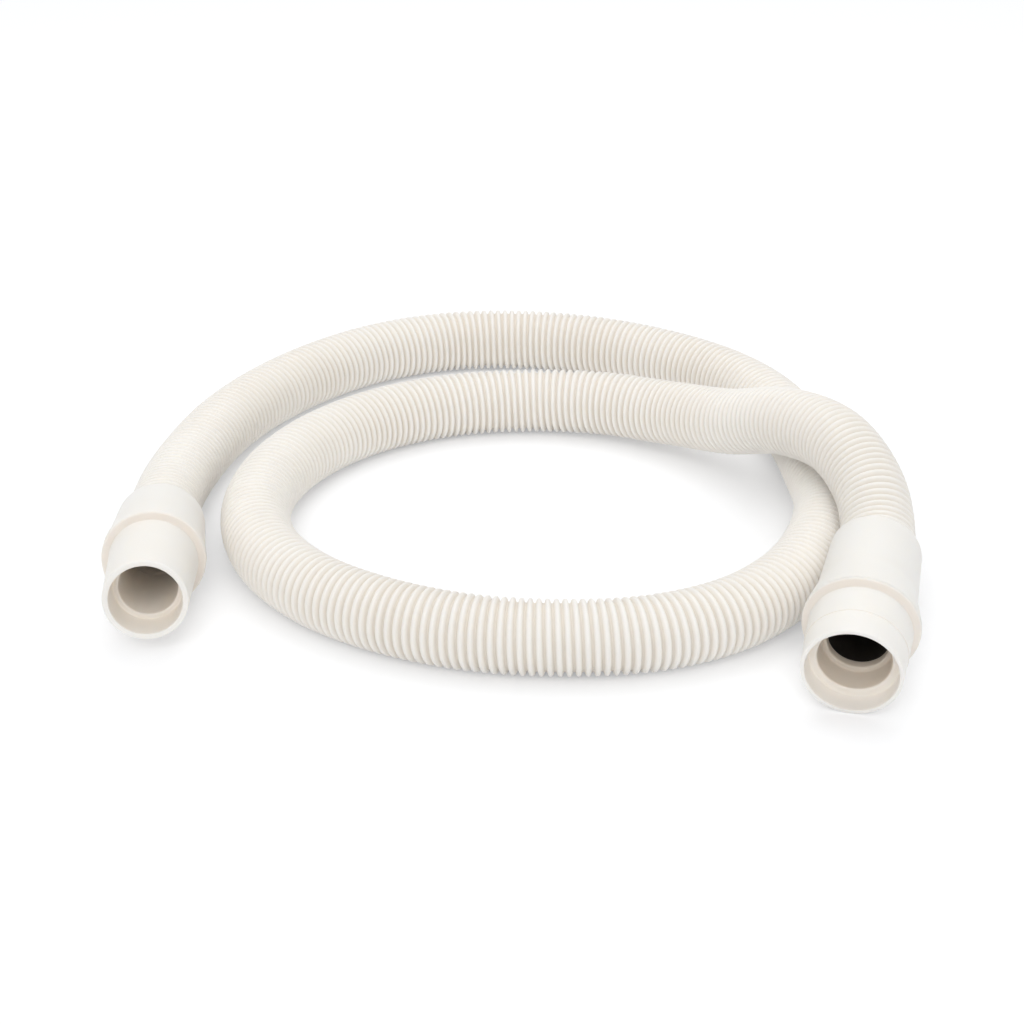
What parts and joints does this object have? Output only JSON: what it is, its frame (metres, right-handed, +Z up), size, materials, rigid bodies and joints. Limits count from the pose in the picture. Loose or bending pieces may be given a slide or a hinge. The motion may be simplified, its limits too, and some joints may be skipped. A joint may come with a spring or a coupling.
{
  "type": "reinforced vacuum hose",
  "caption": "Ribbed spiral-reinforced PVC vacuum hose lying in one and a half turns, with a narrower moulded tool cuff on one end and a wider flanged machine cuff on the other.",
  "frame": {"origin": "centre of the bounding box's footprint, on the plane that the hose lies on", "axes": "+Z up from that plane; -Y the way both cuffs' mouths point; +X towards the large machine cuff, -X towards the small tool cuff"},
  "size_m": [0.4375, 0.4871, 0.0816],
  "materials": {
    "hose_pvc": "satin",
    "cuff_pvc": "satin",
    "sleeve_black": "matte"
  },
  "bodies": {
    "root": {"hose": "hose_pvc", "small_cuff": "cuff_pvc", "large_cuff": "cuff_pvc", "inner_sleeve": "sleeve_black"}
  },
  "joints": []
}
